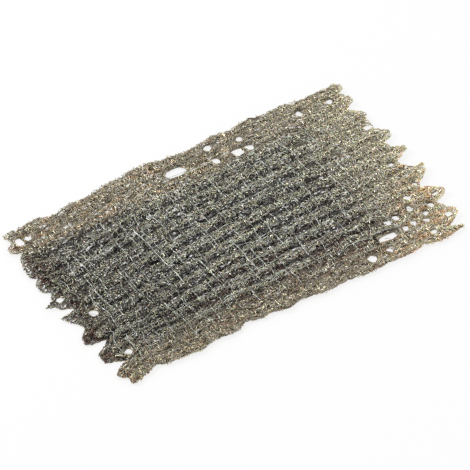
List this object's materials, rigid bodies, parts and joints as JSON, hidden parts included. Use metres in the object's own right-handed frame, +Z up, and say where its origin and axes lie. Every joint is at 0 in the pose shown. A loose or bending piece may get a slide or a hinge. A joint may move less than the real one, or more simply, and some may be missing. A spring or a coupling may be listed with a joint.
{
  "type": "knitted steel scouring cloth",
  "caption": "Oblong cloth knitted from steel wire as a tube and pressed flat, with ridges of loops along it, rungs of wire across it and ravelled tongues at both cut ends.",
  "frame": {"origin": "centre of the bounding box, at the height of the surface that the cloth lies on", "axes": "+X along the ridges of loops, towards the end whose upper layer reaches furthest; +Y across them, towards the straighter long edge's far side; +Z up, out of the face that shows"},
  "size_m": [0.2148, 0.1288, 0.0043],
  "materials": {
    "steel_wire": "fine knitted wire, dulled and a little tarnished"
  },
  "bodies": {
    "root": {"knitted_cloth": "steel_wire"}
  },
  "joints": []
}
